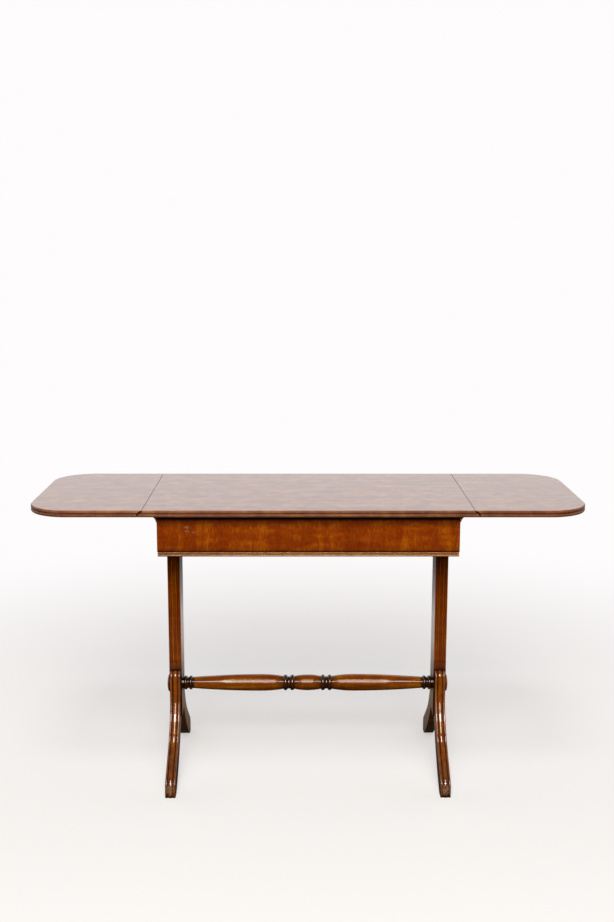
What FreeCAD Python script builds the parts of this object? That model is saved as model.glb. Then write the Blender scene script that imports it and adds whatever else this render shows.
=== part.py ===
import FreeCAD, Part
import math
import os
import re
import Sketcher
from FreeCAD import Rotation, Vector

# Drop-leaf sofa table on two fluted end standards. Millimetres, +Z up, +X along the table,
# +Y to the back, origin on the floor under the middle of the top.

doc = FreeCAD.newDocument("sofa_table")
sheet = doc.addObject("Spreadsheet::Sheet", "Sizes")

SIZES = {
    # top and leaves
    "table_height": 720,
    "fixed_top_length": 770,
    "top_depth": 450,
    "top_thickness": 16,
    "leaf_length": 275,
    "leaf_corner_radius": 98,
    "edge_reed_rise": 1.8,
    # rule joint between top and leaf
    "joint_square": 3,
    "joint_gap": 1.2,
    "axis_above_underside": 2,
    # back-flap hinges
    "hinge_width": 40,
    "hinge_inset": 60,
    "hinge_top_flap": 28,
    "hinge_leaf_flap": 48,
    "top_flap_screw": 15,
    "leaf_flap_near_screw": 24,
    "leaf_flap_far_screw": 39,
    "flap_screw_spread": 12,
    "hinge_thickness": 1.5,
    "knuckle_radius": 2.4,
    "knuckle_length": 14,
    "knuckle_gap": 0.4,
    "pin_radius": 1.2,
    "running_fit": 0.05,
    # wood screws
    "screw_radius": 1.5,
    "screw_head_radius": 3.2,
    "screw_bite": 8.5,
    # frieze box
    "frieze_end_setback": 31,
    "frieze_face_setback": 21,
    "frieze_height": 99.5,
    "frieze_thickness": 18,
    "end_rail_thickness": 36,
    "bearer_width": 43,
    "bearer_height": 40,
    "block_length": 40,
    "block_size": 20,
    "block_place": 150,
    "corner_block_side": 32,
    "corner_block_height": 52,
    # mouldings of the frieze
    "bead_band_height": 12,
    "bead_rise": 2.6,
    "bead_backing": 0.8,
    "bead_rebate": 4,
    "cove_size": 16,
    "cove_list": 2,
    # lopers, the sliding bars that carry a raised leaf
    "loper_width": 30,
    "loper_height": 20,
    "loper_place": 85,
    "slide_gap": 0.3,
    "finger_groove_width": 9,
    "finger_groove_depth": 6,
    "finger_groove_inset": 4,
    "keeper_setback": 12,
    "keeper_length": 60,
    "keeper_wall": 16,
    "keeper_floor": 9,
    "peg_radius": 4,
    "peg_inset": 11,
    "peg_drop": 8,
    "peg_depth": 14,
    # end standards
    "standard_inset": 19,
    "upright_width": 31,
    "upright_depth": 70,
    "upright_foot": 138,
    "upright_arch_rise": 9,
    "tenon_thickness": 12,
    "tenon_width": 46,
    "tenon_length": 42,
    "flute_radius": 3.8,
    "flute_depth": 2.2,
    "flute_pitch": 9.8,
    "flute_bottom": 284,
    "flute_top_margin": 22,
    # sabre legs
    "leg_thickness": 25,
    "knee_height": 262,
    "knee_radius": 16,
    "leg_flare": 0.5,
    "toe_reach": 207,
    "toe_radius": 22,
    "toe_drop": 24,
    "heel_reach": 181,
    "leg_under_radius": 440,
    "leg_middle_reed": 13.5,
    "leg_reed_rise": 2.4,
    "dowel_radius": 4,
    "upper_dowel_height": 236,
    "lower_dowel_height": 172,
    "upper_dowel_in_leg": 6,
    "lower_dowel_in_leg": 13,
    "dowel_in_upright": 20,
    # turned stretcher and its bosses
    "stretcher_height": 216.5,
    "stretcher_tenon_radius": 8,
    "stretcher_tenon_length": 18,
    "end_collar_length": 3,
    "end_valley_radius": 15,
    "end_ring_rise": 2.8,
    "end_ring_width": 8,
    "end_waist": 5,
    "waist_depth": 1,
    "neck_radius": 14.2,
    "swell_place": 118,
    "swell_radius": 21.2,
    "middle_valley_radius": 16.5,
    "middle_ring_rise": 3.5,
    "middle_ring_width": 10.5,
    "middle_waist": 7,
    "middle_bulb_half": 34,
    "boss_radius": 22.5,
    "boss_rim": 7,
    "boss_round": 5,
    "boss_height": 9,
    "boss_spigot_radius": 6,
    "boss_spigot_length": 8,
}

for row, (alias, size) in enumerate(SIZES.items(), start=1):
    sheet.set(f"A{row}", str(size))
    sheet.setAlias(f"A{row}", alias)
doc.recompute()

WORDS = re.compile(r"\b(" + "|".join(SIZES) + r")\b")
X_AXIS = Vector(1, 0, 0)
Y_AXIS = Vector(0, 1, 0)
ALONG = {"x": Rotation(Y_AXIS, 90), "y": Rotation(X_AXIS, -90), "z": Rotation()}


def bound(text):
    """The expression with each size's name pointing at its cell."""
    return WORDS.sub(r"Sizes.\1", str(text))


def value(text):
    """What an expression comes to, in millimetres."""
    return float(sheet.evalExpression(bound(text)))


def place(thing, x="0", y="0", z="0"):
    """Bind a thing's position to three expressions."""
    for axis, text in zip("xyz", (x, y, z)):
        thing.setExpression(f"Placement.Base.{axis}", bound(text))
    return thing


def block(name, x, y, z):
    """A box that spans a pair of expressions along each axis."""
    box = doc.addObject("Part::Box", name)
    for side, (low, high) in zip(("Length", "Width", "Height"), (x, y, z)):
        box.setExpression(side, bound(f"({high}) - ({low})"))
    return place(box, x[0], y[0], z[0])


def rod(name, axis, radius, length, x="0", y="0", z="0"):
    """A cylinder that starts at a point and runs along an axis."""
    cylinder = doc.addObject("Part::Cylinder", name)
    cylinder.Placement = FreeCAD.Placement(Vector(), ALONG[axis])
    cylinder.setExpression("Radius", bound(radius))
    cylinder.setExpression("Height", bound(length))
    return place(cylinder, x, y, z)


def ball(name, radius, x, y, z):
    """A sphere about a point."""
    sphere = doc.addObject("Part::Sphere", name)
    sphere.setExpression("Radius", bound(radius))
    return place(sphere, x, y, z)


def fuse(name, *things):
    """One solid out of things that meet."""
    joined = doc.addObject("Part::MultiFuse", name)
    joined.Shapes = list(things)
    return joined


def group(name, *things):
    """Separate solids kept as one named thing."""
    kept = doc.addObject("Part::Compound", name)
    kept.Links = list(things)
    return kept


def common(name, *things):
    """What all the things share."""
    shared = doc.addObject("Part::MultiCommon", name)
    shared.Shapes = list(things)
    return shared


def cut(name, base, *tools):
    """The base less the tools."""
    left = doc.addObject("Part::Cut", name)
    left.Base = base
    left.Tool = tools[0] if len(tools) == 1 else group(f"{name}_tools", *tools)
    return left


def mirrored(name, thing, normal):
    """The thing's mirror image across the table's middle plane with that normal."""
    image = doc.addObject("Part::Mirroring", name)
    image.Source = thing
    image.Normal = normal
    return image


def minor_arc(here, there, radius, turn):
    """The short arc between two points; turn is 1 for a left-hand bend and -1 for a right-hand one."""
    chord = there - here
    height = math.sqrt(max(radius**2 - (chord.Length / 2) ** 2, 0))
    left = Vector(-chord.y, chord.x, 0).normalize()
    centre = (here + there) / 2 + left * (height * turn)
    ends = (here, there) if turn > 0 else (there, here)
    angles = [math.atan2(end.y - centre.y, end.x - centre.x) for end in ends]
    return Part.ArcOfCircle(Part.Circle(centre, Vector(0, 0, 1), radius), *angles)


def draw(sketch, corners, closed=True):
    """Draw an outline through corners (across, up); a corner (across, up, radius, turn) starts an arc."""
    spots = [Vector(value(c[0]), value(c[1]), 0) for c in corners]
    count = len(corners) if closed else len(corners) - 1
    edges = []
    for n in range(count):
        here, there = spots[n], spots[(n + 1) % len(spots)]
        if len(corners[n]) == 2:
            number = sketch.addGeometry(Part.LineSegment(here, there))
            edges.append((number, 1, 2))
        else:
            radius, turn = value(corners[n][2]), corners[n][3]
            number = sketch.addGeometry(minor_arc(here, there, radius, turn))
            edges.append((number, 1, 2) if turn > 0 else (number, 2, 1))

    def drive(constraint, text):
        number = sketch.addConstraint(constraint)
        sketch.setExpression(f"Constraints[{number}]", bound(text))

    for n, corner in enumerate(corners):
        edge, start, end = edges[n] if n < count else edges[n - 1]
        point = start if n < count else end
        drive(Sketcher.Constraint("DistanceX", -1, 1, edge, point, spots[n].x), corner[0])
        drive(Sketcher.Constraint("DistanceY", -1, 1, edge, point, spots[n].y), corner[1])
    for n in range(count):
        edge, start, end = edges[n]
        if len(corners[n]) > 2:
            drive(Sketcher.Constraint("Radius", edge, value(corners[n][2])), corners[n][2])
        if closed or n < count - 1:
            after = edges[(n + 1) % count]
            sketch.addConstraint(Sketcher.Constraint("Coincident", edge, end, after[0], after[1]))


def new_sketch(body, plane, corners, offset="0", closed=True):
    """A sketch on one of the body's own planes, moved along the plane's normal."""
    sketch = body.newObject("Sketcher::SketchObject", f"{body.Name}_{plane[:2].lower()}")
    support = next(p for p in body.Origin.OriginFeatures if p.Role == plane)
    sketch.AttachmentSupport = [(support, "")]
    sketch.MapMode = "FlatFace"
    sketch.setExpression("AttachmentOffset.Base.z", bound(offset))
    draw(sketch, corners, closed)
    return sketch


def padded(name, plane, corners, length, offset="0", symmetric=False):
    """A body padded from an outline, to one side of its plane or evenly to both."""
    body = doc.addObject("PartDesign::Body", name)
    sketch = new_sketch(body, plane, corners, offset)
    pad = body.newObject("PartDesign::Pad", f"{name}_pad")
    pad.Profile = sketch
    pad.setExpression("Length", bound(length))
    if symmetric:
        pad.SideType = "Symmetric"
    sketch.Visibility = False
    doc.recompute()
    return body


def turned(name, corners, x="0", y="0", z="0"):
    """A body turned about a line along X through a point."""
    body = doc.addObject("PartDesign::Body", name)
    sketch = new_sketch(body, "XZ_Plane", corners)
    turning = body.newObject("PartDesign::Revolution", f"{name}_turning")
    turning.Profile = sketch
    turning.ReferenceAxis = (sketch, ["H_Axis"])
    turning.Angle = 360
    doc.recompute()
    return place(body, x, y, z)


def swept_away(body, profile, path, edges):
    """Take a profile, swept along the first edges of a path, out of a body."""
    pipe = body.newObject("PartDesign::SubtractivePipe", f"{body.Name}_sweep")
    pipe.Profile = profile
    pipe.Spine = (path, [f"Edge{n + 1}" for n in range(edges)])
    doc.recompute()
    return body


def rise_radius(half_chord, rise):
    """Radius of the arc that stands a rise above its chord."""
    return f"((({half_chord})^2 + ({rise})^2) / (2 * ({rise})))"


# places that several pieces share
underside = "(table_height - top_thickness)"
joint_line = "(fixed_top_length / 2)"
axis_height = f"({underside} + axis_above_underside)"
ovolo = "(top_thickness - joint_square - axis_above_underside)"
half_depth = "(top_depth / 2)"
leaf_end = f"({joint_line} + leaf_length)"
frieze_bottom = f"({underside} - frieze_height)"
frieze_end = f"({joint_line} - frieze_end_setback)"
frieze_face = f"({half_depth} - frieze_face_setback)"
frieze_inside = f"({frieze_face} - frieze_thickness)"
end_rail_inside = f"({frieze_end} - end_rail_thickness)"
flange_face = f"({underside} - loper_height - 2 * slide_gap - keeper_floor)"
upright_face = "(upright_depth / 2)"
standard = f"({frieze_end} - standard_inset)"
outer_face = f"({standard} + upright_width / 2)"
inner_face = f"({standard} - upright_width / 2)"


def wood_screw(name, x, y, head):
    """A countersunk screw that points up from its head's face."""
    sink = doc.addObject("Part::Cone", f"{name}_head")
    sink.setExpression("Radius1", bound("screw_head_radius"))
    sink.setExpression("Radius2", bound("screw_radius"))
    sink.setExpression("Height", bound("hinge_thickness"))
    place(sink, x, y, head)
    shank_length = f"{underside} + screw_bite - ({head})"
    shank = rod(f"{name}_shank", "z", "screw_radius", shank_length, x, y, head)
    return fuse(name, sink, shank)


def reeded_edge(start, edge, outward):
    """Corners of a two-reed edge, climbing or falling from a start height by half thicknesses."""
    step = "top_thickness / 2" if outward > 0 else "-top_thickness / 2"
    reed = rise_radius("top_thickness / 4", "edge_reed_rise")
    return [(edge, start, reed, 1), (edge, f"{start} + ({step})", reed, 1)]


# spans that the parts of a hinge share
flap_top = f"({underside} + hinge_thickness)"
flap_z = (underside, flap_top)
clear_radius = "(knuckle_radius + knuckle_gap)"
clear_inside = f"({joint_line} - {clear_radius})"
clear_outside = f"({joint_line} + {clear_radius})"
flap_start = f"({joint_line} - hinge_top_flap)"
flap_end = f"({joint_line} + hinge_leaf_flap)"
half_hinge = "(hinge_width / 2)"
half_knuckle = "(knuckle_length / 2)"
side_knuckle = f"({half_knuckle} + knuckle_gap)"


def axis_rod(name, radius, span):
    """A rod on the hinge axis between two places along it."""
    return rod(name, "y", radius, f"({span[1]}) - ({span[0]})", joint_line, span[0], axis_height)


def top_flap(n, at, span):
    """The flap under the fixed top, with a knuckle at each end, and its screws."""
    ends = ((span[0], f"{at} - {side_knuckle}"), (f"{at} + {side_knuckle}", span[1]))
    plate = block(f"top_plate_{n}", (flap_start, clear_inside), span, flap_z)
    necks = [block(f"top_neck_{n}", (clear_inside, joint_line), end, flap_z) for end in ends]
    rolls = [axis_rod(f"top_roll_{n}", "knuckle_radius", end) for end in ends]
    screw_x = f"{joint_line} - top_flap_screw"
    screws = [
        wood_screw(f"top_screw_{n}", screw_x, f"{at} + {side} * flap_screw_spread", underside)
        for side in (-1, 1)
    ]
    blank = fuse(f"top_blank_{n}", plate, *necks, *rolls)
    return cut(f"top_flap_{n}", blank, axis_rod(f"top_bore_{n}", "pin_radius", span), *screws), screws


def leaf_flap(n, at, span):
    """The longer flap under the leaf, with the middle knuckle, and its screws."""
    middle = (f"{at} - {half_knuckle}", f"{at} + {half_knuckle}")
    plate = block(f"leaf_plate_{n}", (clear_outside, flap_end), span, flap_z)
    neck = block(f"leaf_neck_{n}", (joint_line, clear_outside), middle, flap_z)
    roll = axis_rod(f"leaf_roll_{n}", "knuckle_radius", middle)
    near, far = f"{joint_line} + leaf_flap_near_screw", f"{joint_line} + leaf_flap_far_screw"
    screws = [
        wood_screw(f"leaf_screw_{n}", x, f"{at} + {side} * flap_screw_spread", underside)
        for x, side in ((near, -1), (near, 1), (far, 0))
    ]
    blank = fuse(f"leaf_blank_{n}", plate, neck, roll)
    bore = axis_rod(f"leaf_bore_{n}", "pin_radius + running_fit", span)
    return cut(f"leaf_flap_{n}", blank, bore, *screws), screws


def top_recess(n, span):
    """What a hinge needs cut from the fixed top: bed, groove for the knuckles, way for the leaf's flap."""
    roomy = (f"{span[0]} - knuckle_gap", f"{span[1]} + knuckle_gap")
    relief_x = (joint_line, f"{joint_line} + {ovolo} + joint_gap")
    return [
        block(f"top_bed_{n}", (flap_start, joint_line), span, flap_z),
        block(f"top_relief_{n}", relief_x, roomy, (underside, f"{flap_top} + knuckle_gap")),
        axis_rod(f"top_groove_{n}", clear_radius, roomy),
    ]


# hinges of the right-hand leaf, one for each place along the joint
top_flaps, leaf_flaps, pins = [], [], []
top_screws, leaf_screws = [], []
top_recesses, leaf_recesses = [], []
end_hinge = f"({half_depth} - hinge_inset)"
for n, at in enumerate((f"-{end_hinge}", "0", end_hinge), start=1):
    span = (f"{at} - {half_hinge}", f"{at} + {half_hinge}")
    flap, screws = top_flap(n, at, span)
    top_flaps.append(flap)
    top_screws += screws
    flap, screws = leaf_flap(n, at, span)
    leaf_flaps.append(flap)
    leaf_screws += screws
    pins.append(axis_rod(f"pin_{n}", "pin_radius", span))
    top_recesses += top_recess(n, span)
    leaf_recesses.append(block(f"leaf_bed_{n}", (joint_line, flap_end), span, flap_z))

right_top_flaps = group("right_hinge_top_flaps", *top_flaps)
right_leaf_flaps = group("right_hinge_leaf_flaps", *leaf_flaps)
right_pins = group("right_hinge_pins", *pins)
right_top_screws = group("right_hinge_top_screws", *top_screws)
right_leaf_screws = group("right_hinge_leaf_screws", *leaf_screws)

# fixed top: ovolo ends for the rule joints, two reeds along front and back
ovolo_top = f"({axis_height} + {ovolo})"
ovolo_end = f"({joint_line} + {ovolo})"
top_lengthways = padded(
    "top_lengthways",
    "XZ_Plane",
    [
        (joint_line, "table_height"),
        (f"-{joint_line}", "table_height"),
        (f"-{joint_line}", ovolo_top, ovolo, 1),
        (f"-{ovolo_end}", axis_height),
        (f"-{ovolo_end}", underside),
        (ovolo_end, underside),
        (ovolo_end, axis_height, ovolo, 1),
        (joint_line, ovolo_top),
    ],
    "top_depth",
    symmetric=True,
)
quirk = f"({half_depth} - edge_reed_rise)"
top_crossways = padded(
    "top_crossways",
    "YZ_Plane",
    [
        *reeded_edge("table_height", f"-{quirk}", -1),
        (f"-{quirk}", underside),
        *reeded_edge(underside, quirk, 1),
        (quirk, "table_height"),
    ],
    f"2 * {ovolo_end}",
    symmetric=True,
)
top_blank = common("top_blank", top_lengthways, top_crossways)

# right-hand leaf: rounded corners, reeded edge, hollow side of the rule joint
leaf_start = f"({joint_line} + joint_gap)"
corner_x = f"({leaf_end} - leaf_corner_radius)"
corner_y = f"({half_depth} - leaf_corner_radius)"
leaf_edge = [
    (leaf_start, f"-{half_depth}"),
    (corner_x, f"-{half_depth}", "leaf_corner_radius", 1),
    (leaf_end, f"-{corner_y}"),
    (leaf_end, corner_y, "leaf_corner_radius", 1),
    (corner_x, half_depth),
    (leaf_start, half_depth),
]
leaf_body = padded("leaf_body", "XY_Plane", leaf_edge, "top_thickness", underside)
leaf_path = new_sketch(leaf_body, "XY_Plane", leaf_edge, underside, closed=False)
waste = "1"
reed = rise_radius("top_thickness / 4", "edge_reed_rise")
leaf_waste = new_sketch(
    leaf_body,
    "YZ_Plane",
    [
        (f"-{half_depth} - {waste}", f"{underside} - {waste}"),
        (f"-{quirk}", f"{underside} - {waste}"),
        (f"-{quirk}", underside, reed, -1),
        (f"-{quirk}", f"{underside} + top_thickness / 2", reed, -1),
        (f"-{quirk}", "table_height"),
        (f"-{quirk}", f"table_height + {waste}"),
        (f"-{half_depth} - {waste}", f"table_height + {waste}"),
    ],
    leaf_start,
)
swept_away(leaf_body, leaf_waste, leaf_path, 5)
hollow = f"({ovolo} + joint_gap)"
hollow_tool = padded(
    "hollow_tool",
    "XZ_Plane",
    [
        (f"{joint_line} - {hollow}", f"{underside} - {waste}"),
        (f"{joint_line} + {hollow}", f"{underside} - {waste}"),
        (f"{joint_line} + {hollow}", axis_height, hollow, 1),
        (joint_line, f"{axis_height} + {hollow}"),
        (f"{joint_line} - {hollow}", f"{axis_height} + {hollow}"),
    ],
    f"top_depth + 2 * {waste}",
    symmetric=True,
)
right_leaf = cut("right_leaf", leaf_body, hollow_tool, *leaf_recesses, right_leaf_screws)

# frieze box
box_z = (frieze_bottom, underside)
box_x = (f"-{frieze_end}", frieze_end)
bead_z = (frieze_bottom, f"{frieze_bottom} + bead_band_height")
rebate_end = f"({frieze_end} - bead_rebate)"
rebate_face = f"({frieze_face} - bead_rebate)"
bead_rebate = cut(
    "bead_rebate",
    block("rebate_outside", box_x, (f"-{frieze_face}", frieze_face), bead_z),
    block("rebate_inside", (f"-{rebate_end}", rebate_end), (f"-{rebate_face}", rebate_face), bead_z),
)
front_board = block("front_board", box_x, (f"-{frieze_face}", f"-{frieze_inside}"), box_z)
front_frieze = cut("front_frieze", front_board, bead_rebate)
back_frieze = mirrored("back_frieze", front_frieze, Y_AXIS)
middle_bearer = block(
    "middle_bearer",
    ("-bearer_width / 2", "bearer_width / 2"),
    (f"-{frieze_inside}", frieze_inside),
    (f"{underside} - bearer_height", underside),
)
rail_y = (f"-{frieze_inside}", frieze_inside)
end_rail_blank = block("end_rail_blank", (end_rail_inside, frieze_end), rail_y, box_z)
tenon_x = (f"{standard} - tenon_thickness / 2", f"{standard} + tenon_thickness / 2")
tenon_y = ("-tenon_width / 2", "tenon_width / 2")
mortise = block("mortise", tenon_x, tenon_y, (frieze_bottom, f"{frieze_bottom} + tenon_length"))
slot_floor = f"({underside} - loper_height - 2 * slide_gap)"
half_slot = "(loper_width / 2 + slide_gap)"
slots = [
    block(
        f"loper_slot_{n}",
        (end_rail_inside, f"{frieze_end} + cove_size"),
        (f"{side} * loper_place - {half_slot}", f"{side} * loper_place + {half_slot}"),
        (slot_floor, underside),
    )
    for n, side in enumerate((-1, 1), start=1)
]
right_end_rail = cut("right_end_rail", end_rail_blank, mortise, bead_rebate, *slots)

corner_block = padded(
    "corner_block",
    "XY_Plane",
    [
        (end_rail_inside, f"-{frieze_inside}"),
        (end_rail_inside, f"-{frieze_inside} + corner_block_side"),
        (f"{end_rail_inside} - corner_block_side", f"-{frieze_inside}"),
    ],
    "corner_block_height",
    f"{frieze_bottom} + corner_block_side / 2",
)
corner_back = mirrored("back_corner_block", corner_block, Y_AXIS)
corner_pair = group("right_corner_blocks", corner_block, corner_back)
corner_blocks = group("corner_blocks", corner_pair, mirrored("left_corner_blocks", corner_pair, X_AXIS))

# blocks that screw the top to the frieze, two along each side
fixing_blocks, fixing_screws = [], []
for n, side in enumerate((-1, 1), start=1):
    middle_x = f"{side} * block_place"
    middle_y = f"(-{frieze_inside} + block_size / 2)"
    fixing_blocks.append(
        block(
            f"fixing_block_{n}",
            (f"{middle_x} - block_length / 2", f"{middle_x} + block_length / 2"),
            (f"-{frieze_inside}", f"-{frieze_inside} + block_size"),
            (f"{underside} - block_size", underside),
        )
    )
    screw_head = f"{underside} - block_size"
    fixing_screws.append(wood_screw(f"fixing_screw_{n}", middle_x, middle_y, screw_head))
front_screws = group("front_fixing_screws", *fixing_screws)
front_blocks = cut("front_fixing_blocks", group("front_block_blanks", *fixing_blocks), front_screws)
back_screws = mirrored("back_fixing_screws", front_screws, Y_AXIS)
back_blocks = mirrored("back_fixing_blocks", front_blocks, Y_AXIS)
top_fixing_screws = group("top_fixing_screws", front_screws, back_screws)
top_fixing_blocks = group("top_fixing_blocks", front_blocks, back_blocks)


def bead_strip(name, half_length, face):
    """A double-bead strip along X on a face towards -Y, mitred at both ends."""
    bead = rise_radius("bead_band_height / 4", "bead_rise")
    front = f"(-{face} - bead_backing)"
    peak = "(bead_backing + bead_rise)"
    section = padded(
        f"{name}_section",
        "YZ_Plane",
        [
            (front, f"{frieze_bottom} + bead_band_height", bead, 1),
            (front, f"{frieze_bottom} + bead_band_height / 2", bead, 1),
            (front, frieze_bottom),
            (f"-{face}", frieze_bottom),
            (f"-{face}", f"{frieze_bottom} + bead_band_height"),
        ],
        f"2 * ({half_length} + {peak})",
        symmetric=True,
    )
    plan = padded(
        f"{name}_plan",
        "XY_Plane",
        [
            (f"-{half_length} - {peak}", f"-{face} - {peak}"),
            (f"{half_length} + {peak}", f"-{face} - {peak}"),
            (half_length, f"-{face}"),
            (f"-{half_length}", f"-{face}"),
        ],
        "frieze_height",
        frieze_bottom,
    )
    return common(name, section, plan)


front_bead = bead_strip("front_bead_moulding", rebate_end, rebate_face)
back_bead = mirrored("back_bead_moulding", front_bead, Y_AXIS)
left_bead = bead_strip("left_bead_moulding", rebate_face, rebate_end)
left_bead.Placement = FreeCAD.Placement(Vector(), Rotation(Vector(0, 0, 1), -90))
right_bead = mirrored("right_bead_moulding", left_bead, X_AXIS)

# cove under each overhanging end of the fixed top
cove_x = f"({frieze_end} + cove_size)"
cove_foot = f"({underside} - cove_size)"
cove_blank = padded(
    "cove_blank",
    "XZ_Plane",
    [
        (frieze_end, underside),
        (frieze_end, cove_foot),
        (f"{frieze_end} + cove_list", cove_foot, "cove_size - cove_list", -1),
        (cove_x, f"{underside} - cove_list"),
        (cove_x, underside),
    ],
    f"2 * {frieze_face}",
    symmetric=True,
)
right_cove = cut("right_cove_moulding", cove_blank, *slots)

# lopers and the keepers they slide in, front pair first
loper_top = f"({underside} - slide_gap)"
loper_foot = f"({loper_top} - loper_height)"
loper_tail = "(bearer_width / 2 + slide_gap)"
keeper_end = f"({end_rail_inside} - keeper_setback)"
keeper_start = f"({keeper_end} - keeper_length)"
loper_y = ("-loper_place - loper_width / 2", "-loper_place + loper_width / 2")
channel_y = (f"-loper_place - {half_slot}", f"-loper_place + {half_slot}")
keeper_y = (f"{channel_y[0]} - keeper_wall", f"{channel_y[1]} + keeper_wall")
groove_end = f"({cove_x} - finger_groove_inset)"
loper_bar = block("loper_bar", (loper_tail, cove_x), loper_y, (loper_foot, loper_top))
finger_groove = rod(
    "finger_groove",
    "y",
    "finger_groove_depth",
    "loper_width",
    f"{groove_end} - finger_groove_width / 2",
    loper_y[0],
    loper_foot,
)
peg_foot = f"({loper_foot} - peg_drop)"
right_front_peg = rod(
    "right_front_loper_peg",
    "z",
    "peg_radius",
    "peg_drop + peg_depth",
    f"{loper_tail} + peg_inset",
    "-loper_place",
    peg_foot,
)
right_front_loper = cut("right_front_loper", loper_bar, finger_groove, right_front_peg)
keeper_bar = block("keeper_bar", (keeper_start, keeper_end), keeper_y, (flange_face, underside))
keeper_channel = block("keeper_channel", (keeper_start, keeper_end), channel_y, (slot_floor, underside))
keeper_middle = f"({keeper_end} - keeper_length / 2)"
keeper_flanges = (f"{keeper_y[0]} + keeper_wall / 2", f"{keeper_y[1]} - keeper_wall / 2")
front_keeper_screws = group(
    "front_keeper_screws",
    *[wood_screw("keeper_screw", keeper_middle, y, flange_face) for y in keeper_flanges],
)
front_keeper = cut("front_keeper", keeper_bar, keeper_channel, front_keeper_screws)
right_keepers = group("right_loper_keepers", front_keeper, mirrored("back_keeper", front_keeper, Y_AXIS))
right_keeper_screws = group(
    "right_keeper_screws", front_keeper_screws, mirrored("back_keeper_screws", front_keeper_screws, Y_AXIS)
)

# end standard: tenoned upright with three stopped flutes front and back
stretcher_hole = rod(
    "stretcher_hole",
    "x",
    "stretcher_tenon_radius",
    "stretcher_tenon_length",
    inner_face,
    "0",
    "stretcher_height",
)
boss_hole = rod(
    "boss_hole",
    "x",
    "boss_spigot_radius",
    "boss_spigot_length",
    f"{outer_face} - boss_spigot_length",
    "0",
    "stretcher_height",
)
upright_post = block(
    "upright_post",
    (inner_face, outer_face),
    (f"-{upright_face}", upright_face),
    ("upright_foot", frieze_bottom),
)
upright_tenon = block("upright_tenon", tenon_x, tenon_y, (frieze_bottom, f"{frieze_bottom} + tenon_length"))
arch_radius = rise_radius(upright_face, "upright_arch_rise")
upright_arch = rod(
    "upright_arch",
    "x",
    arch_radius,
    "upright_width",
    inner_face,
    "0",
    f"upright_foot + upright_arch_rise - {arch_radius}",
)
flute_line = f"(-{upright_face} - flute_radius + flute_depth)"
flute_top = f"({frieze_bottom} - flute_top_margin)"
flute_parts = []
for n in (-1, 0, 1):
    flute_x = f"{standard} + {n} * flute_pitch"
    flute_length = f"{flute_top} - flute_bottom"
    flute_parts += [
        rod(f"flute_{n + 2}", "z", "flute_radius", flute_length, flute_x, flute_line, "flute_bottom"),
        ball(f"flute_stop_{n + 2}", "flute_radius", flute_x, flute_line, "flute_bottom"),
        ball(f"flute_head_{n + 2}", "flute_radius", flute_x, flute_line, flute_top),
    ]
front_flutes = fuse("front_flutes", *flute_parts)
back_flutes = mirrored("back_flutes", front_flutes, Y_AXIS)

dowels = []
for name, height, in_leg in (
    ("upper", "upper_dowel_height", "upper_dowel_in_leg"),
    ("lower", "lower_dowel_height", "lower_dowel_in_leg"),
):
    dowels.append(
        rod(
            f"{name}_dowel",
            "y",
            "dowel_radius",
            f"{in_leg} + dowel_in_upright",
            standard,
            f"-{upright_face} - {in_leg}",
            height,
        )
    )
front_dowels = group("right_front_dowels", *dowels)
back_dowels = mirrored("right_back_dowels", front_dowels, Y_AXIS)
right_upright = cut(
    "right_upright",
    fuse("upright_blank", upright_post, upright_tenon),
    upright_arch,
    front_flutes,
    back_flutes,
    stretcher_hole,
    boss_hole,
    front_dowels,
    back_dowels,
)

# sabre leg: knee, hollow front, straight flare and rounded toe, carved with three reeds all the way;
# leg_flare is the tangent of half the angle between the flare and the upright
knee_top = "knee_height"
knee_face = f"(-{upright_face} - knee_radius)"
knee_line = "(knee_height - knee_radius)"
flare_out = "(2 * leg_flare / (1 + leg_flare^2))"
flare_down = "((1 - leg_flare^2) / (1 + leg_flare^2))"
toe_start = f"(-toe_reach + toe_radius * (1 - {flare_down}))"
toe_top = f"(toe_drop + toe_radius * {flare_out})"
hollow_drop = f"({knee_line} - {toe_top})"
hollow_run = f"({knee_face} - {toe_start})"
hollow = f"(({hollow_drop} * {flare_out} - {hollow_run} * {flare_down}) / (1 - {flare_down}))"
leg_front = [
    (f"-{upright_face}", knee_top, "knee_radius", 1),
    (knee_face, knee_line, hollow, -1),
    (f"{knee_face} - {hollow} * (1 - {flare_down})", f"{knee_line} - {hollow} * {flare_out}"),
    (toe_start, toe_top, "toe_radius", 1),
    ("-toe_reach", "toe_drop"),
    ("-toe_reach", "0"),
]
leg_body = padded(
    "leg_body",
    "YZ_Plane",
    [
        *leg_front,
        ("-heel_reach", "0", "leg_under_radius", 1),
        (f"-{upright_face}", "upright_foot"),
    ],
    "leg_thickness",
    f"{standard} - leg_thickness / 2",
)
leg_path = new_sketch(leg_body, "YZ_Plane", leg_front, standard, closed=False)
half_leg = "(leg_thickness / 2)"
half_reed = "(leg_middle_reed / 2)"
valley = f"({knee_top} - leg_reed_rise)"
side_reed = rise_radius(f"({half_leg} - {half_reed}) / 2", "leg_reed_rise")
middle_reed = rise_radius(half_reed, "leg_reed_rise")
leg_waste = new_sketch(
    leg_body,
    "XZ_Plane",
    [
        (f"{standard} - {half_leg} - {waste}", valley),
        (f"{standard} - {half_leg}", valley, side_reed, -1),
        (f"{standard} - {half_reed}", valley, middle_reed, -1),
        (f"{standard} + {half_reed}", valley, side_reed, -1),
        (f"{standard} + {half_leg}", valley),
        (f"{standard} + {half_leg} + {waste}", valley),
        (f"{standard} + {half_leg} + {waste}", f"{knee_top} + {waste}"),
        (f"{standard} - {half_leg} - {waste}", f"{knee_top} + {waste}"),
    ],
    upright_face,
)
swept_away(leg_body, leg_waste, leg_path, 5)
right_front_leg = cut("right_front_leg", leg_body, front_dowels)

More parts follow.
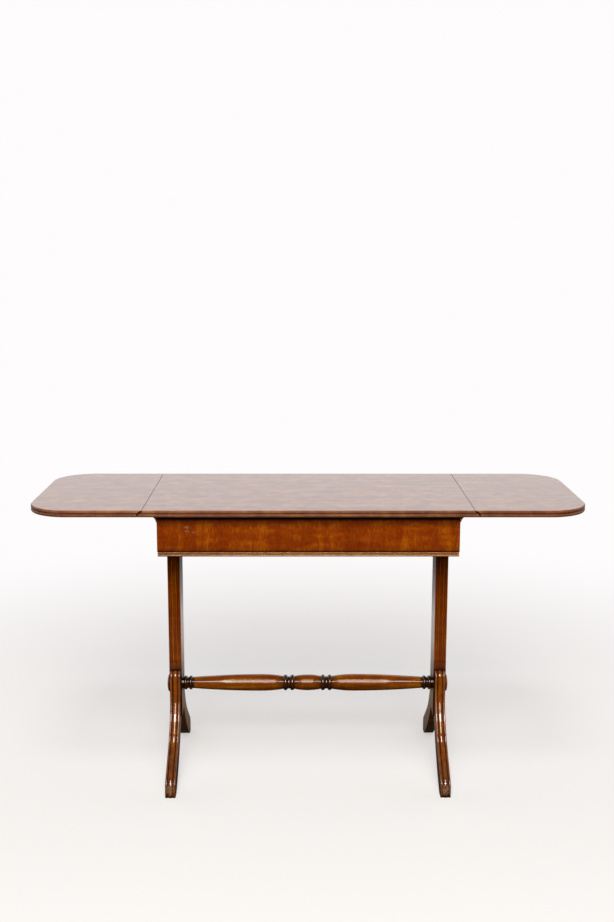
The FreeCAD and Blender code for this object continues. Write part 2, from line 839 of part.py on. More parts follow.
# turned stretcher: two long swells, pairs of rings with a hollow waist at the ends and beside a bulb
end_start = f"({inner_face} - end_collar_length)"
end_waist = [f"({end_start} - end_ring_width)", f"({end_start} - end_ring_width - end_waist)"]
end_stop = f"({end_start} - 2 * end_ring_width - end_waist)"
end_ring = rise_radius("end_ring_width / 2", "end_ring_rise")
end_hollow = rise_radius("end_waist / 2", "waist_depth")
middle_start = "(middle_bulb_half + 2 * middle_ring_width + middle_waist)"
waist_end = "(middle_bulb_half + middle_ring_width)"
waist_start = f"({waist_end} + middle_waist)"
middle_ring = rise_radius("middle_ring_width / 2", "middle_ring_rise")
middle_hollow = rise_radius("middle_waist / 2", "waist_depth")
swell_outside = rise_radius(f"({end_stop} - swell_place)", "(swell_radius - neck_radius)")
swell_inside = rise_radius(f"(swell_place - {middle_start})", "(swell_radius - middle_valley_radius)")
bulb = rise_radius("middle_bulb_half", "middle_ring_rise")
tenon_end = f"({inner_face} + stretcher_tenon_length)"
right_half = [
    (tenon_end, "0"),
    (tenon_end, "stretcher_tenon_radius"),
    (inner_face, "stretcher_tenon_radius"),
    (inner_face, "end_valley_radius"),
    (end_start, "end_valley_radius", end_ring, 1),
    (end_waist[0], "end_valley_radius", end_hollow, -1),
    (end_waist[1], "end_valley_radius", end_ring, 1),
    (end_stop, "end_valley_radius"),
    (end_stop, "neck_radius", swell_outside, 1),
    ("swell_place", "swell_radius", swell_inside, 1),
    (middle_start, "middle_valley_radius", middle_ring, 1),
    (waist_start, "middle_valley_radius", middle_hollow, -1),
    (waist_end, "middle_valley_radius", middle_ring, 1),
    ("middle_bulb_half", "middle_valley_radius", bulb, 1),
]
befores = [right_half[0]] + right_half[:-1]
left_half = [(f"-{here[0]}", here[1], *before[2:]) for here, before in zip(right_half, befores)]
left_half.reverse()
stretcher = turned("stretcher", right_half + left_half, z="stretcher_height")

boss_dome = rise_radius("(boss_radius - boss_round)", "(boss_height - boss_rim)")
right_boss = turned(
    "right_boss",
    [
        ("-boss_spigot_length", "0"),
        ("boss_height", "0", boss_dome, 1),
        ("boss_rim", "boss_radius - boss_round", "boss_round", 1),
        ("boss_rim - boss_round", "boss_radius"),
        ("0", "boss_radius"),
        ("0", "boss_spigot_radius"),
        ("-boss_spigot_length", "boss_spigot_radius"),
    ],
    x=outer_face,
    z="stretcher_height",
)

fixed_top = cut(
    "fixed_top",
    top_blank,
    *top_recesses,
    right_top_screws,
    mirrored("left_recesses", group("right_recesses", *top_recesses), X_AXIS),
    mirrored("left_hinge_top_screws", right_top_screws, X_AXIS),
    top_fixing_screws,
    right_keeper_screws,
    mirrored("left_keeper_screws", right_keeper_screws, X_AXIS),
)

# every piece by the name of its file; the left and back ones mirror the right front ones
pieces = {
    "fixed_top": fixed_top,
    "front_frieze": front_frieze,
    "back_frieze": back_frieze,
    "middle_bearer": middle_bearer,
    "corner_blocks": corner_blocks,
    "top_fixing_blocks": top_fixing_blocks,
    "top_fixing_screws": top_fixing_screws,
    "front_bead_moulding": front_bead,
    "back_bead_moulding": back_bead,
    "left_bead_moulding": left_bead,
    "right_bead_moulding": right_bead,
    "stretcher": stretcher,
}
for name, piece in {
    "leaf": right_leaf,
    "hinge_top_flaps": right_top_flaps,
    "hinge_leaf_flaps": right_leaf_flaps,
    "hinge_pins": right_pins,
    "hinge_top_screws": right_top_screws,
    "hinge_leaf_screws": right_leaf_screws,
    "end_rail": right_end_rail,
    "cove_moulding": right_cove,
    "loper_keepers": right_keepers,
    "keeper_screws": right_keeper_screws,
    "upright": right_upright,
    "boss": right_boss,
}.items():
    pieces[f"right_{name}"] = piece
    pieces[f"left_{name}"] = mirrored(f"left_{name}", piece, X_AXIS)
for name, piece in {
    "loper": right_front_loper,
    "loper_peg": right_front_peg,
    "leg": right_front_leg,
    "leg_dowels": front_dowels,
}.items():
    back = mirrored(f"right_back_{name}", piece, Y_AXIS)
    pieces[f"right_front_{name}"] = piece
    pieces[f"right_back_{name}"] = back
    pieces[f"left_front_{name}"] = mirrored(f"left_front_{name}", piece, X_AXIS)
    pieces[f"left_back_{name}"] = mirrored(f"left_back_{name}", back, X_AXIS)

doc.recompute()
for thing in doc.Objects:
    if {"Invalid", "Error"} & set(thing.State):
        raise RuntimeError(f"{thing.Name} did not build: {thing.State}")

os.makedirs("parts", exist_ok=True)
for name, piece in pieces.items():
    piece.Label = name
    if piece.Shape.isNull() or not piece.Shape.isValid():
        raise RuntimeError(f"{name} has no sound shape")
    piece.Shape.exportStep(f"parts/{name}.step")
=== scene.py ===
"""Looks of the drop-leaf sofa table: polished woods, brass hinges, slotted screws, studio and camera."""

import logging
import math
from dataclasses import dataclass, replace
from enum import Enum
from typing import NamedTuple

import bpy
from mathutils import Matrix, Vector

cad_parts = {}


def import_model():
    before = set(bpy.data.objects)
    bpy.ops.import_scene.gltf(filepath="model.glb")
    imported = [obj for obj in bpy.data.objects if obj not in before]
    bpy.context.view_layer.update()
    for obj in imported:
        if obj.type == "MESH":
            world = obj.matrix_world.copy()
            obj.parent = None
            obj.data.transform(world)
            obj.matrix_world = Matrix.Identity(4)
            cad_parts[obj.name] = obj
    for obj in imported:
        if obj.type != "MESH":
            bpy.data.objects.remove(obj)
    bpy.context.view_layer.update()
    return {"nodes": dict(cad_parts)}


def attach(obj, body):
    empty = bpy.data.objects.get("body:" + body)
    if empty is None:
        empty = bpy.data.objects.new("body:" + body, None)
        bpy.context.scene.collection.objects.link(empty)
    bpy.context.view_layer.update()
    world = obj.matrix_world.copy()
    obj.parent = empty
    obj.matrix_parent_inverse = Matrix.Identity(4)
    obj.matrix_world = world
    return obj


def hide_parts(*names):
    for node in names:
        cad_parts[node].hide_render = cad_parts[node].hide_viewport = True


LOG = logging.getLogger("sofa_table")
MM = 0.001
# where the wood patterns are read from, so that no seam of theirs falls on the middle of the table
PATTERN_START = (37.4, 11.7, 23.2)
# the pieces that make up the flat top
TOP_PIECES = ("fixed_top", "left_leaf", "right_leaf")


class Span(NamedTuple):
    """The values of a pattern at which a mark starts to show and at which it is full."""

    start: float
    full: float


# values of the mixed pattern that get a wood's dark and its light colour
TONE_SPAN = Span(0.33, 0.67)
# open pores: length and width in mm, drawn wider than the real 0.2 mm so that they show
PORE_SIZE = (9, 0.9)
PORE_SPAN = Span(0.62, 0.72)
PORE_SHARE = 0.45
PORE_SINK = -0.6
# how open a surface is where old wax and painted shade start to gather, in hollows and under other parts,
# and the share of clear film that they leave
QUIRK_START = 0.95
QUIRK_FILM = 0.15
CORNER_SAMPLES = 6
# arrises: their rounding in mm, how far the surface turns on them, and the patches where they are rubbed
# pale, which on the top also paints a glint
ARRIS_RADIUS = 0.9
ARRIS_SPAN = Span(0.99, 0.8)
ROUNDING_SAMPLES = 4
RUB_AND_GLINT_SIZE = (40, 25)
RUB_AND_GLINT_SPAN = Span(0.4, 0.65)
# smears in the polish, in mm
SMEAR_SIZE = (60, 30)
# relief of the fibres: its strength, and its height in mm
FIBRE_RELIEF = 0.12
FIBRE_HEIGHT = 0.2
# scuffs: shares of their half sizes from rim to middle, and the flecks in mm that break them up
SCUFF_SPAN = Span(1.0, 0.4)
SCUFF_SHARE = 0.7
FLECK_SIZE = 3
FLECK_SPAN = Span(0.42, 0.58)
# how far up a surface faces where the edge of the top ends and where its flat begins
FLAT_SPAN = Span(0.85, 0.98)
WOOD_IOR = 1.5


def linear(colour: str) -> tuple[float, float, float, float]:
    """Turn an sRGB hex colour into linear light.

    Args:
        colour: six hex digits, red first.

    Returns:
        Red, green, blue and full opacity.
    """
    parts = [int(colour[n : n + 2], 16) / 255 for n in (0, 2, 4)]
    light = [p / 12.92 if p <= 0.04045 else ((p + 0.055) / 1.055) ** 2.4 for p in parts]
    return (*light, 1.0)


def add(
    tree: bpy.types.NodeTree, kind: str, inputs: dict | None = None, **settings: object
) -> bpy.types.Node:
    """Add a node, with its settings and what feeds it.

    Args:
        tree: the tree that gets the node.
        kind: the node's type.
        inputs: a socket's name or number to its value, or to the output that it is linked from.
        settings: the node's own properties.

    Returns:
        The new node.
    """
    node = tree.nodes.new(kind)
    for name, setting in settings.items():
        setattr(node, name, setting)
    for key, value in (inputs or {}).items():
        if isinstance(value, bpy.types.NodeSocket):
            tree.links.new(value, node.inputs[key])
        else:
            node.inputs[key].default_value = value
    return node


class Grain(Enum):
    """The table's axis that the fibres of a piece run along."""

    LENGTHWAYS = 0
    CROSSWAYS = 1
    UPRIGHT = 2

    def scale(self, along: float, across: float) -> Vector:
        """Work out a pattern's scale.

        Args:
            along: length of one feature along the fibres, in mm.
            across: its width across them, in mm.

        Returns:
            Features per metre along each axis.
        """
        sizes = [across, across, across]
        sizes[self.value] = along
        return Vector(1 / (size * MM) for size in sizes)


@dataclass(frozen=True)
class BareFace:
    """Faces left without polish, up to a distance in mm along an axis, and the dust on them."""

    axis: int
    within: float
    dust: str = "7A5638"
    dust_share: float = 0.6


@dataclass(frozen=True)
class Scuff:
    """A patch where the polish is knocked pale: its middle, half width and half height in mm."""

    middle: tuple[float, float, float]
    half_width: float
    half_height: float


@dataclass(frozen=True)
class StainOrShade:
    """A band along the grain in mm, of stained wood or of painted shade, with its soft rim: how dark it is,
    and how much film it wears.
    """

    start: float
    end: float
    share: float
    rim: float = 4
    film: float | None = None


@dataclass(frozen=True)
class JointEnd:
    """The end of a rule joint, dark with dirt and painted shade of its gap: its axis, its round, and where
    the dark line starts, in mm.
    """

    along: float
    height: float
    radius: float
    half_width: float
    inside: float


@dataclass(frozen=True)
class PolishedWood:
    """Wood with streaked and rippled colour, dark pores and a clear film; sizes in mm."""

    name: str
    grain: Grain
    dark: str
    middle: str
    light: str
    streak: tuple[float, float] = (380, 26)
    fibre: tuple[float, float] = (70, 2.2)
    fibre_share: float = 0.35
    ripple: tuple[float, float] = (16, 70)
    ripple_share: float = 0.25
    shine: float = 0.1
    coat: float = 0.45
    gloss: float = 0.07
    film_ior: float = 1.5
    rough: tuple[float, float] = (0.3, 0.46)
    worn_and_glint: str = "B07A4A"
    wear_and_glint: float = 0.5
    grime_and_shade: str = "160602"
    grime_and_shade_reach: float = 6
    grime_and_shade_full: float = 0.65
    stains_and_shades: tuple[StainOrShade, ...] = ()
    scuffs: tuple[Scuff, ...] = ()
    joint_end: JointEnd | None = None
    bare: BareFace | None = None
    edge_coat: float | None = None
    edge_rough: float = 0.6

    def noise(
        self,
        tree: bpy.types.NodeTree,
        place: bpy.types.NodeSocket,
        size: tuple[float, float],
        **more: float,
    ) -> bpy.types.NodeSocket:
        """Lay a cloudy pattern along the grain.

        Args:
            tree: the material's tree.
            place: coordinates of the surface.
            size: length and width of a feature in mm.
            more: detail, roughness and distortion of the pattern.

        Returns:
            The pattern from 0 to 1.
        """
        scale = {"Vector": place, "Scale": self.grain.scale(*size), "Location": PATTERN_START}
        spread = add(tree, "ShaderNodeMapping", scale)
        settings = {name.capitalize(): value for name, value in more.items()}
        cloud = add(tree, "ShaderNodeTexNoise", {"Vector": spread.outputs[0], "Scale": 1.0, **settings})
        return cloud.outputs["Fac"]

    def material(self) -> bpy.types.Material:
        """Build the finish.

        Returns:
            The material.
        """
        made = bpy.data.materials.new(self.name)
        made.use_nodes = True
        tree = made.node_tree
        tree.nodes.clear()
        place = add(tree, "ShaderNodeTexCoord").outputs["Object"]
        fibre = self.noise(tree, place, self.fibre, detail=4.0, roughness=0.65)
        pores = self.noise(tree, place, PORE_SIZE, detail=1.0)
        limits = {"Value": pores, "From Min": PORE_SPAN.start, "From Max": PORE_SPAN.full}
        pore = add(tree, "ShaderNodeMapRange", limits).outputs[0]
        radius = {"Radius": ARRIS_RADIUS * MM}
        rounded = add(tree, "ShaderNodeBevel", radius, samples=ROUNDING_SAMPLES).outputs[0]

        colour, film = self.soil_and_shade(tree, self.tone(tree, place, fibre, pore))
        colour = self.rub_and_glint(tree, place, colour, rounded)
        if self.joint_end:
            colour = self.pack_dirt_and_shade(tree, place, colour, self.joint_end)
        # bands of stained wood, and bands of painted shade and shadow
        for band_or_blotch in self.stains_and_shades:
            band = self.band(tree, place, band_or_blotch)
            colour = self.darken(tree, colour, band, band_or_blotch.share)
            if band_or_blotch.film is not None:
                films = {"Factor": band, "A": film, "B": band_or_blotch.film}
                film = add(tree, "ShaderNodeMix", films).outputs[0]
        for scuff in self.scuffs:
            colour = self.knock(tree, place, colour, scuff)

        smear = self.noise(tree, place, SMEAR_SIZE, detail=4.0)
        low, high = self.rough
        limits = {"Value": smear, "To Min": low, "To Max": high}
        rough = add(tree, "ShaderNodeMapRange", limits).outputs[0]
        if self.edge_coat is not None:
            film, rough = self.dull_edges(tree, film, rough)
        if self.bare:
            colour, film = self.strip(tree, place, colour, film, self.bare)

        sunk = add(tree, "ShaderNodeMath", {0: pore, 1: PORE_SINK}, operation="MULTIPLY").outputs[0]
        height = add(tree, "ShaderNodeMath", {0: sunk, 1: fibre}, operation="ADD").outputs[0]
        bump = add(
            tree,
            "ShaderNodeBump",
            {
                "Strength": FIBRE_RELIEF,
                "Distance": FIBRE_HEIGHT * MM,
                "Height": height,
                "Normal": rounded,
            },
        )
        shader = add(
            tree,
            "ShaderNodeBsdfPrincipled",
            {
                "Base Color": colour,
                "Roughness": rough,
                "IOR": WOOD_IOR,
                "Specular IOR Level": self.shine,
                "Normal": bump.outputs[0],
                "Coat Weight": film,
                "Coat Roughness": self.gloss,
                "Coat IOR": self.film_ior,
                "Coat Normal": rounded,
            },
        )
        add(tree, "ShaderNodeOutputMaterial", {"Surface": shader.outputs[0]})
        return made

    def tone(
        self,
        tree: bpy.types.NodeTree,
        place: bpy.types.NodeSocket,
        fibre: bpy.types.NodeSocket,
        pore: bpy.types.NodeSocket,
    ) -> bpy.types.NodeSocket:
        """Mix growth streaks, fibres and the ripple across them into a colour, and draw the pores.

        Args:
            tree: the material's tree.
            place: coordinates of the surface.
            fibre: the pattern of the fibres.
            pore: where the pores are.

        Returns:
            The colour of the clean wood.
        """
        streak = self.noise(tree, place, self.streak, detail=3.0, distortion=0.6)
        ripple = self.noise(tree, place, self.ripple, detail=2.0, distortion=0.4)
        tone = streak
        for share, pattern in ((self.fibre_share, fibre), (self.ripple_share, ripple)):
            tone = add(tree, "ShaderNodeMix", {"Factor": share, "A": tone, "B": pattern}).outputs[0]
        ramp = add(tree, "ShaderNodeValToRGB", {"Fac": tone})
        stops = ramp.color_ramp.elements
        stops[0].position, stops[0].color = TONE_SPAN.start, linear(self.dark)
        stops[1].position, stops[1].color = TONE_SPAN.full, linear(self.light)
        stops.new(sum(TONE_SPAN) / 2).color = linear(self.middle)
        share = add(tree, "ShaderNodeMath", {0: pore, 1: PORE_SHARE}, operation="MULTIPLY").outputs[0]
        inks = {"Factor": share, "A": ramp.outputs[0], "B": linear(self.grime_and_shade)}
        return add(tree, "ShaderNodeMix", inks, data_type="RGBA").outputs["Result"]

    def soil_and_shade(
        self, tree: bpy.types.NodeTree, colour: bpy.types.NodeSocket
    ) -> tuple[bpy.types.NodeSocket, bpy.types.NodeSocket]:
        """Lay old wax in the quirks, and painted shade in hollows and under other parts, which darken and
        dull them.

        Args:
            tree: the material's tree.
            colour: the colour so far.

        Returns:
            The colour with the wax and the painted shade, and how much clear film there is.
        """
        reach = {"Distance": self.grime_and_shade_reach * MM}
        # painted shade: the less open the surface, the darker it gets, which also stands for old wax in the
        # quirks
        cover = add(tree, "ShaderNodeAmbientOcclusion", reach, samples=CORNER_SAMPLES).outputs["AO"]
        limits = {"Value": cover, "From Min": QUIRK_START, "From Max": self.grime_and_shade_full}
        dirt_and_shade = add(tree, "ShaderNodeMapRange", limits).outputs[0]
        inks = {"Factor": dirt_and_shade, "A": colour, "B": linear(self.grime_and_shade)}
        waxed_and_shaded = add(tree, "ShaderNodeMix", inks, data_type="RGBA").outputs["Result"]
        clear = {"Value": dirt_and_shade, "To Min": self.coat, "To Max": QUIRK_FILM * self.coat}
        return waxed_and_shaded, add(tree, "ShaderNodeMapRange", clear).outputs[0]

    def rub_and_glint(
        self,
        tree: bpy.types.NodeTree,
        place: bpy.types.NodeSocket,
        colour: bpy.types.NodeSocket,
        rounded: bpy.types.NodeSocket,
    ) -> bpy.types.NodeSocket:
        """Rub the arrises pale, in patches; on the top the pale colour also paints a glint along them.

        Args:
            tree: the material's tree.
            place: coordinates of the surface.
            colour: the colour so far.
            rounded: the normal with the arrises rounded.

        Returns:
            The colour with the rubbed patches and the painted glint.
        """
        facing = add(tree, "ShaderNodeNewGeometry").outputs["Normal"]
        pair = {0: rounded, 1: facing}
        turn = add(tree, "ShaderNodeVectorMath", pair, operation="DOT_PRODUCT").outputs["Value"]
        limits = {"Value": turn, "From Min": ARRIS_SPAN.start, "From Max": ARRIS_SPAN.full}
        arris = add(tree, "ShaderNodeMapRange", limits).outputs[0]
        patches = self.noise(tree, place, RUB_AND_GLINT_SIZE, detail=3.0)
        limits = {"Value": patches, "From Min": RUB_AND_GLINT_SPAN.start, "From Max": RUB_AND_GLINT_SPAN.full}
        patch = add(tree, "ShaderNodeMapRange", limits).outputs[0]
        share = add(tree, "ShaderNodeMath", {0: arris, 1: patch}, operation="MULTIPLY").outputs[0]
        share = add(tree, "ShaderNodeMath", {0: share, 1: self.wear_and_glint}, operation="MULTIPLY").outputs[0]
        inks = {"Factor": share, "A": colour, "B": linear(self.worn_and_glint)}
        return add(tree, "ShaderNodeMix", inks, data_type="RGBA").outputs["Result"]

    def pack_dirt_and_shade(
        self,
        tree: bpy.types.NodeTree,
        place: bpy.types.NodeSocket,
        colour: bpy.types.NodeSocket,
        end: JointEnd,
    ) -> bpy.types.NodeSocket:
        """Draw the dark line that a rule joint shows on the front and back edge: dirt in the joint, and
        painted shade of its gap.

        Args:
            tree: the material's tree.
            place: coordinates of the surface.
            colour: the colour so far.
            end: the joint's line.

        Returns:
            The colour with the line.
        """
        folded = add(tree, "ShaderNodeVectorMath", {0: place}, operation="ABSOLUTE").outputs[0]
        split = add(tree, "ShaderNodeSeparateXYZ", {0: folded}).outputs
        across = add(tree, "ShaderNodeCombineXYZ", {"X": split["X"], "Z": split["Z"]}).outputs[0]
        ends = {0: across, 1: (end.along * MM, 0.0, end.height * MM)}
        far = add(tree, "ShaderNodeVectorMath", ends, operation="DISTANCE").outputs["Value"]
        off = add(tree, "ShaderNodeMath", {0: far, 1: end.radius * MM}, operation="SUBTRACT").outputs[0]
        off = add(tree, "ShaderNodeMath", {0: off}, operation="ABSOLUTE").outputs[0]
        half = end.half_width * MM
        line = add(tree, "ShaderNodeMapRange", {"Value": off, "From Min": half, "From Max": half / 2})
        share = line.outputs[0]
        for reach, limit in ((split["X"], end.along), (split["Y"], end.inside)):
            beyond = add(tree, "ShaderNodeMath", {0: reach, 1: limit * MM}, operation="GREATER_THAN")
            both = {0: share, 1: beyond.outputs[0]}
            share = add(tree, "ShaderNodeMath", both, operation="MULTIPLY").outputs[0]
        inks = {"Factor": share, "A": colour, "B": linear(self.grime_and_shade)}
        return add(tree, "ShaderNodeMix", inks, data_type="RGBA").outputs["Result"]

    def band(
        self, tree: bpy.types.NodeTree, place: bpy.types.NodeSocket, band_or_blotch: StainOrShade
    ) -> bpy.types.NodeSocket:
        """Mark one band of stained wood or painted shade, on both sides of the middle.

        Args:
            tree: the material's tree.
            place: coordinates of the surface.
            band_or_blotch: the band.

        Returns:
            1 inside the band and 0 outside it.
        """
        along = add(tree, "ShaderNodeSeparateXYZ", {0: place}).outputs[self.grain.value]
        reach = add(tree, "ShaderNodeMath", {0: along}, operation="ABSOLUTE").outputs[0]
        middle = (band_or_blotch.start + band_or_blotch.end) / 2 * MM
        away = add(tree, "ShaderNodeMath", {0: reach, 1: middle}, operation="SUBTRACT").outputs[0]
        away = add(tree, "ShaderNodeMath", {0: away}, operation="ABSOLUTE").outputs[0]
        half = (band_or_blotch.end - band_or_blotch.start) / 2 * MM
        limits = {"Value": away, "From Min": half, "From Max": half - band_or_blotch.rim * MM}
        return add(tree, "ShaderNodeMapRange", limits).outputs[0]

    def darken(
        self,
        tree: bpy.types.NodeTree,
        colour: bpy.types.NodeSocket,
        band: bpy.types.NodeSocket,
        share: float,
    ) -> bpy.types.NodeSocket:
        """Darken the colour over one band of stained wood or painted shade.

        Args:
            tree: the material's tree.
            colour: the colour so far.
            band: where the band lies.
            share: how dark it is.

        Returns:
            The colour with the band.
        """
        depth = add(tree, "ShaderNodeMath", {0: band, 1: share}, operation="MULTIPLY").outputs[0]
        inks = {"Factor": depth, "A": colour, "B": linear(self.grime_and_shade)}
        return add(tree, "ShaderNodeMix", inks, data_type="RGBA").outputs["Result"]

    def knock(
        self,
        tree: bpy.types.NodeTree,
        place: bpy.types.NodeSocket,
        colour: bpy.types.NodeSocket,
        scuff: Scuff,
    ) -> bpy.types.NodeSocket:
        """Break the colour with one scuff.

        Args:
            tree: the material's tree.
            place: coordinates of the surface.
            colour: the colour so far.
            scuff: the patch.

        Returns:
            The colour with the scuff.
        """
        middle = Vector(scuff.middle) * MM
        away = add(tree, "ShaderNodeVectorMath", {0: place, 1: middle}, operation="SUBTRACT").outputs[0]
        halves = (scuff.half_width, scuff.half_width, scuff.half_height)
        scale = Vector(1 / (half * MM) for half in halves)
        shares = {0: away, 1: scale}
        spread = add(tree, "ShaderNodeVectorMath", shares, operation="MULTIPLY").outputs[0]
        far = add(tree, "ShaderNodeVectorMath", {0: spread}, operation="LENGTH").outputs["Value"]
        limits = {"Value": far, "From Min": SCUFF_SPAN.start, "From Max": SCUFF_SPAN.full}
        near = add(tree, "ShaderNodeMapRange", limits).outputs[0]
        grit = {"Vector": place, "Scale": 1 / (FLECK_SIZE * MM), "Detail": 2.0}
        flecks = add(tree, "ShaderNodeTexNoise", grit).outputs["Fac"]
        limits = {"Value": flecks, "From Min": FLECK_SPAN.start, "From Max": FLECK_SPAN.full}
        broken = add(tree, "ShaderNodeMapRange", limits).outputs[0]
        share = add(tree, "ShaderNodeMath", {0: near, 1: broken}, operation="MULTIPLY").outputs[0]
        share = add(tree, "ShaderNodeMath", {0: share, 1: SCUFF_SHARE}, operation="MULTIPLY").outputs[0]
        inks = {"Factor": share, "A": colour, "B": linear(self.worn_and_glint)}
        return add(tree, "ShaderNodeMix", inks, data_type="RGBA").outputs["Result"]

    def dull_edges(
        self, tree: bpy.types.NodeTree, film: bpy.types.NodeSocket, rough: bpy.types.NodeSocket
    ) -> tuple[bpy.types.NodeSocket, bpy.types.NodeSocket]:
        """Leave the edges round a flat top duller than the flat.

        Args:
            tree: the material's tree.
            film: how much clear film the flat wears.
            rough: its roughness under the film.

        Returns:
            The film and the roughness of both.
        """
        facing = add(tree, "ShaderNodeTexCoord").outputs["Normal"]
        up = add(tree, "ShaderNodeSeparateXYZ", {0: facing}).outputs["Z"]
        limits = {"Value": up, "From Min": FLAT_SPAN.start, "From Max": FLAT_SPAN.full}
        flat = add(tree, "ShaderNodeMapRange", limits).outputs[0]
        films = {"Factor": flat, "A": self.edge_coat, "B": film}
        roughs = {"Factor": flat, "A": self.edge_rough, "B": rough}
        return tuple(add(tree, "ShaderNodeMix", both).outputs[0] for both in (films, roughs))

    def strip(
        self,
        tree: bpy.types.NodeTree,
        place: bpy.types.NodeSocket,
        colour: bpy.types.NodeSocket,
        film: bpy.types.NodeSocket,
        bare: BareFace,
    ) -> tuple[bpy.types.NodeSocket, bpy.types.NodeSocket]:
        """Leave the bare faces dull, dusty and paler than the polished ones.

        Args:
            tree: the material's tree.
            place: coordinates of the surface.
            colour: the polished colour.
            film: how much clear film there is on it.
            bare: the faces.

        Returns:
            The colour and the film of both kinds of face.
        """
        along = add(tree, "ShaderNodeSeparateXYZ", {0: place}).outputs[bare.axis]
        reach = add(tree, "ShaderNodeMath", {0: along}, operation="ABSOLUTE").outputs[0]
        limit = {0: reach, 1: bare.within * MM}
        inside = add(tree, "ShaderNodeMath", limit, operation="LESS_THAN").outputs[0]
        inks = {"Factor": bare.dust_share, "A": colour, "B": linear(bare.dust)}
        dusty = add(tree, "ShaderNodeMix", inks, data_type="RGBA").outputs["Result"]
        inks = {"Factor": inside, "A": colour, "B": dusty}
        mixed = add(tree, "ShaderNodeMix", inks, data_type="RGBA").outputs["Result"]
        clear = {"Value": inside, "To Min": film, "To Max": 0.0}
        return mixed, add(tree, "ShaderNodeMapRange", clear).outputs[0]


@dataclass(frozen=True)
class WorkedMetal:
    """Rolled or drawn metal with a dull skin that is bright in blotches; sizes in mm."""

    name: str
    bright: str
    tarnish: str
    rough: tuple[float, float]
    blotch: float
    tarnish_span: Span = Span(0.35, 0.65)
    rounding: float = 0.3
    relief: float = 0.2
    relief_height: float = 0.1

    def material(self) -> bpy.types.Material:
        """Build the finish.

        Returns:
            The material.
        """
        made = bpy.data.materials.new(self.name)
        made.use_nodes = True
        tree = made.node_tree
        tree.nodes.clear()
        place = add(tree, "ShaderNodeTexCoord").outputs["Object"]
        cloud = {"Vector": place, "Scale": 1 / (self.blotch * MM), "Detail": 5.0}
        band_or_blotch = add(tree, "ShaderNodeTexNoise", cloud).outputs["Fac"]
        start, full = self.tarnish_span
        limits = {"Value": band_or_blotch, "From Min": start, "From Max": full}
        share = add(tree, "ShaderNodeMapRange", limits).outputs[0]
        inks = {"Factor": share, "A": linear(self.bright), "B": linear(self.tarnish)}
        colour = add(tree, "ShaderNodeMix", inks, data_type="RGBA").outputs["Result"]
        low, high = self.rough
        limits = {"Value": share, "To Min": low, "To Max": high}
        rough = add(tree, "ShaderNodeMapRange", limits).outputs[0]
        radius = {"Radius": self.rounding * MM}
        rounded = add(tree, "ShaderNodeBevel", radius, samples=ROUNDING_SAMPLES).outputs[0]
        bump = add(
            tree,
            "ShaderNodeBump",
            {
                "Strength": self.relief,
                "Distance": self.relief_height * MM,
                "Height": band_or_blotch,
                "Normal": rounded,
            },
        )
        shader = add(
            tree,
            "ShaderNodeBsdfPrincipled",
            {
                "Base Color": colour,
                "Metallic": 1.0,
                "Roughness": rough,
                "Normal": bump.outputs[0],
            },
        )
        add(tree, "ShaderNodeOutputMaterial", {"Surface": shader.outputs[0]})
        return made


# mahogany veneer laid lengthways on the top: brown with a soft mottle under a hard mirror film, its arrises
# rubbed greyish pale, which also paints their glint
TOP_VENEER = PolishedWood(
    name="mahogany_veneer_polished_top",
    grain=Grain.LENGTHWAYS,
    dark="643620",
    middle="875034",
    light="AA744A",
    streak=(420, 11),
    fibre=(120, 2.4),
    fibre_share=0.35,
    ripple_share=0.42,
    shine=0.46,
    coat=1.0,
    gloss=0.12,
    ripple=(30, 34),
    bare=BareFace(2, 704.1),
    edge_coat=0.12,
    # greyish pale arrises: rubbed, and a painted glint along the top's edges
    worn_and_glint="D2C0B2",
    wear_and_glint=0.8,
    # dirt and painted shade of the gap where each rule joint ends on the front and back edges
    joint_end=JointEnd(along=385, height=706, radius=11.5, half_width=2.6, inside=216),
)
# mahogany veneer laid upright on the frieze: orange-brown flame between darker bands, with a painted shadow
# under the top
FRIEZE_VENEER = PolishedWood(
    name="mahogany_veneer_upright",
    grain=Grain.UPRIGHT,
    dark="6C2400",
    middle="923C02",
    light="BC6808",
    streak=(220, 24),
    fibre=(15, 3.2),
    fibre_share=0.58,
    ripple=(14, 50),
    ripple_share=0.24,
    coat=0.12,
    grime_and_shade_reach=14,
    stains_and_shades=(
        # painted shadow: the black line right under the top's overhang
        StainOrShade(691, 720, 0.95),
        # painted shadow: the softer shade below it
        StainOrShade(674, 720, 0.5, 14),
        # a dark line along the foot of the frieze, over the bead
        StainOrShade(606, 622, 0.75, 4),
        # a little darker over the lower part of the frieze
        StainOrShade(570, 655, 0.22, 36),
    ),
    bare=BareFace(1, 186.1),
    worn_and_glint="A88058",
    scuffs=(
        Scuff((-284, -204, 675.5), 9, 4.5),
        Scuff((-284, -204, 666.5), 8, 4),
        Scuff((-267, -204, 664), 6, 3.5),
    ),
)
# the same veneer on the end rails: a plainer, redder brown
END_VENEER = PolishedWood(
    name="mahogany_veneer_upright_ends",
    grain=Grain.UPRIGHT,
    dark="6E2A06",
    middle="8A3E0A",
    light="A4570E",
    streak=(160, 28),
    fibre=(16, 3.2),
    fibre_share=0.5,
    ripple_share=0.3,
    coat=0.5,
    grime_and_shade_reach=14,
    bare=BareFace(0, 318.1),
)
